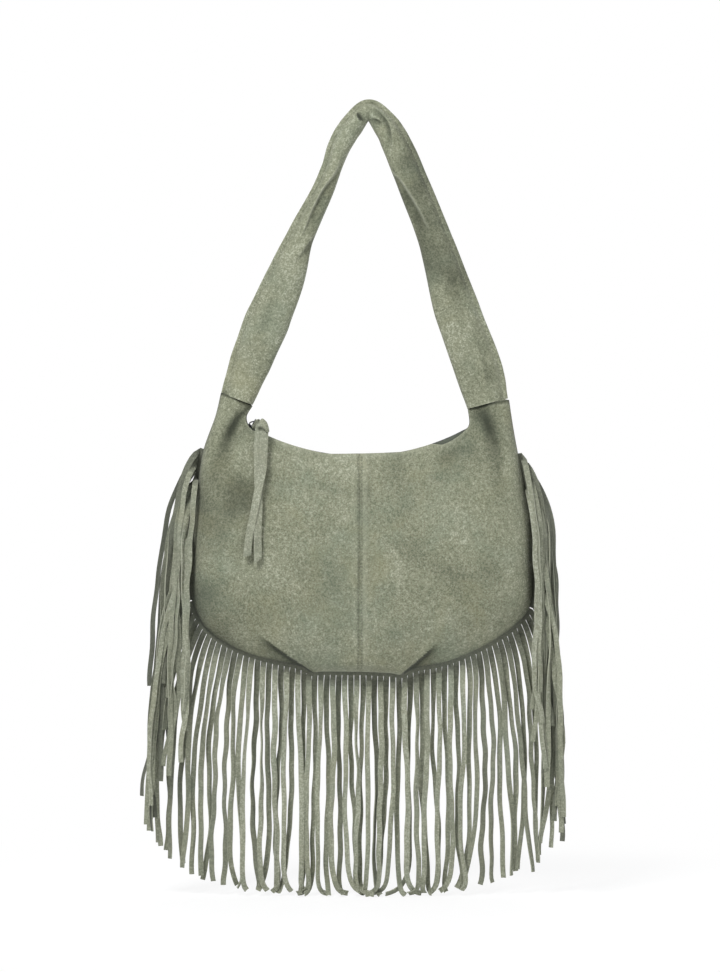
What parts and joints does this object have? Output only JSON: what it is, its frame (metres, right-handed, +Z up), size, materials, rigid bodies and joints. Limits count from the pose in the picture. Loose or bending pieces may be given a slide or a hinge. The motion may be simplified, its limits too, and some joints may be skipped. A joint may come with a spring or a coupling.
{
  "type": "fringed suede shoulder bag",
  "caption": "Slouchy suede shoulder bag with a folded suede handle, a zipped dipped mouth, bottom pleats and a long cut fringe in its seam.",
  "frame": {"origin": "underside of the handle's crown, where the bag hangs, on its mid plane", "axes": "+Z up, +X to the bag's right as seen from the front, the front faces -Y"},
  "size_m": [0.4207, 0.0801, 0.7965],
  "materials": {
    "suede": "napped suede, matt",
    "fringe_suede": "napped suede with raw cut edges",
    "lining": "plain woven lining",
    "zip_tape": "woven tape",
    "dark_metal": "dark gunmetal, satin"
  },
  "bodies": {
    "bag": {"front_panel_left": "suede", "front_panel_right": "suede", "back_panel_left": "suede", "back_panel_right": "suede", "handle": "suede", "fringe_left": "fringe_suede", "fringe_right": "fringe_suede", "fringe_bottom_left": "fringe_suede", "fringe_bottom_right": "fringe_suede", "lining_front": "lining", "lining_back": "lining", "lining_pocket": "lining", "zip_tape_front": "zip_tape", "zip_tape_back": "zip_tape", "zip_teeth_front": "dark_metal", "zip_teeth_back": "dark_metal", "zip_end_stop": "dark_metal"},
    "slider": {"zip_slider": "dark_metal"},
    "ring": {"pull_ring": "dark_metal"},
    "lace": {"pull_lace": "suede"}
  },
  "joints": [
    {"name": "zip_travel", "type": "hinge", "parent": "bag", "child": "slider", "pos_m": [-0.0094, 0, -0.1149], "axis": [0, -1, 0], "range_deg": [0, 55.4], "deforming": ["zip_teeth_front", "zip_teeth_back"]},
    {"name": "ring_level", "type": "hinge", "parent": "slider", "child": "ring", "pos_m": [-0.11486, 0, -0.30283], "axis": [0, -1, 0], "range_deg": [-55.4, 0]},
    {"name": "pull_lift", "type": "hinge", "parent": "ring", "child": "lace", "pos_m": [-0.11486, -0.0097, -0.30419], "axis": [-1, 0, 0], "range_deg": [0, 55]}
  ],
  "couplings": [
    {"joint": "ring_level", "follows": "zip_travel", "ratio": -1}
  ]
}
